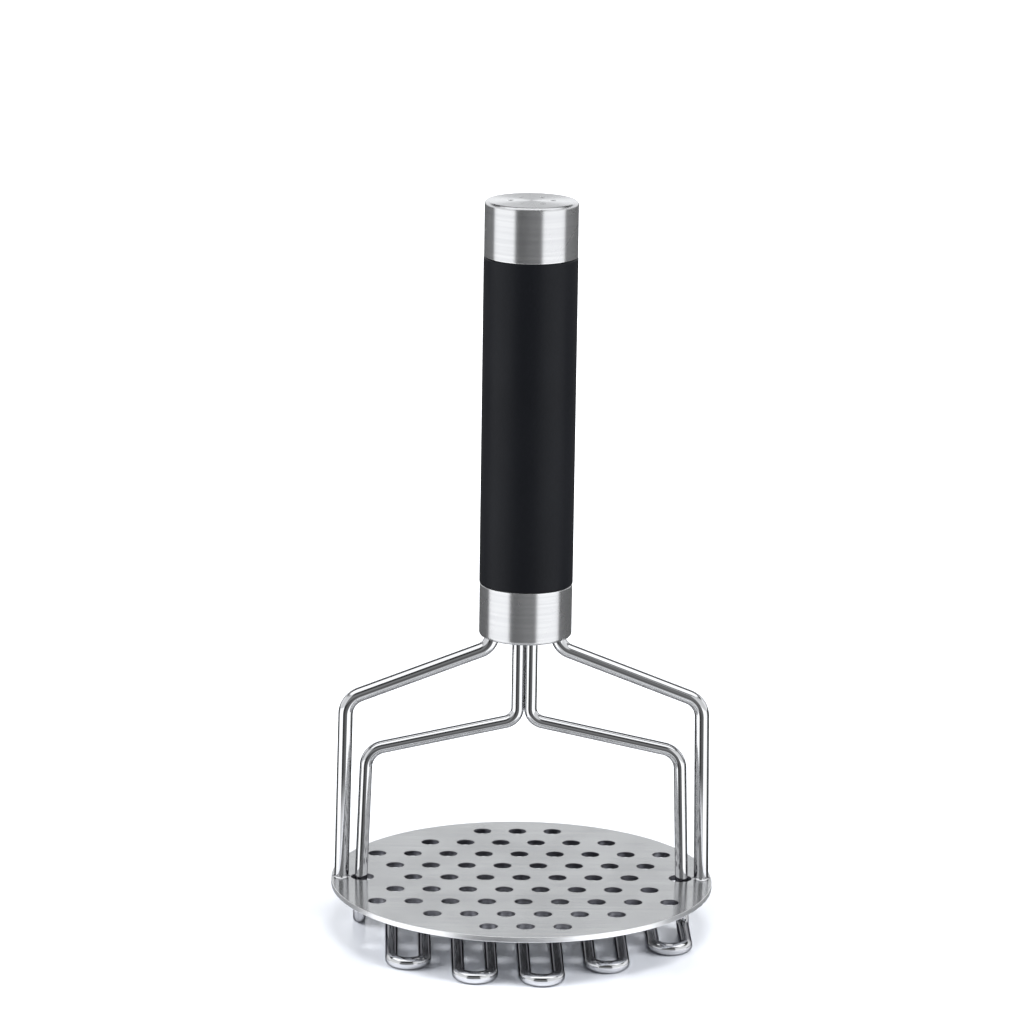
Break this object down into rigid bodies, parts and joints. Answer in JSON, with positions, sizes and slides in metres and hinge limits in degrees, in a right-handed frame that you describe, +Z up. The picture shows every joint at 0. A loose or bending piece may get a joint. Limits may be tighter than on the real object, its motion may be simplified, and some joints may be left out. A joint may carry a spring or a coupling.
{
  "type": "potato ricer",
  "caption": "Two-stage hand potato ricer and masher: a perforated disc and a sprung wire grid under one straight round handle with steel end caps.",
  "frame": {"origin": "centre of the bounding box's base, on the table under the handle's axis", "axes": "+Z up along the handle's axis; both wire frames lie in the XZ plane; -Y faces the viewer"},
  "size_m": [0.1054, 0.1054, 0.205],
  "materials": {
    "polished_steel": "polished",
    "brushed_steel": "brushed",
    "black_rubber": "satin soft-touch",
    "white_acetal": "matte",
    "turned_aluminium": "turned",
    "spring_steel": "bright drawn"
  },
  "bodies": {
    "handle": {"perforated_disc": "brushed_steel", "outer_wire_left": "polished_steel", "outer_wire_right": "polished_steel", "bottom_ferrule": "brushed_steel", "top_cap": "brushed_steel", "grip_sleeve": "black_rubber", "core_tube": "brushed_steel", "end_plug": "turned_aluminium", "stem_guide": "white_acetal", "stop_bumper": "black_rubber", "cap_insert": "white_acetal", "plug_screw_front": "spring_steel", "plug_screw_back": "spring_steel", "insert_screw_front": "spring_steel", "insert_screw_back": "spring_steel", "upper_spring_washer": "spring_steel", "press_spring": "spring_steel"},
    "press_frame": {"press_wire": "polished_steel", "slider": "white_acetal", "lower_spring_washer": "spring_steel"}
  },
  "joints": [
    {"name": "press_stroke", "type": "slide", "parent": "handle", "child": "press_frame", "axis": [0, 0, 1], "range_m": [0, 0.009], "stiffness_N_per_m": 900, "springref_m": -0.008, "deforming": ["press_spring"]}
  ]
}
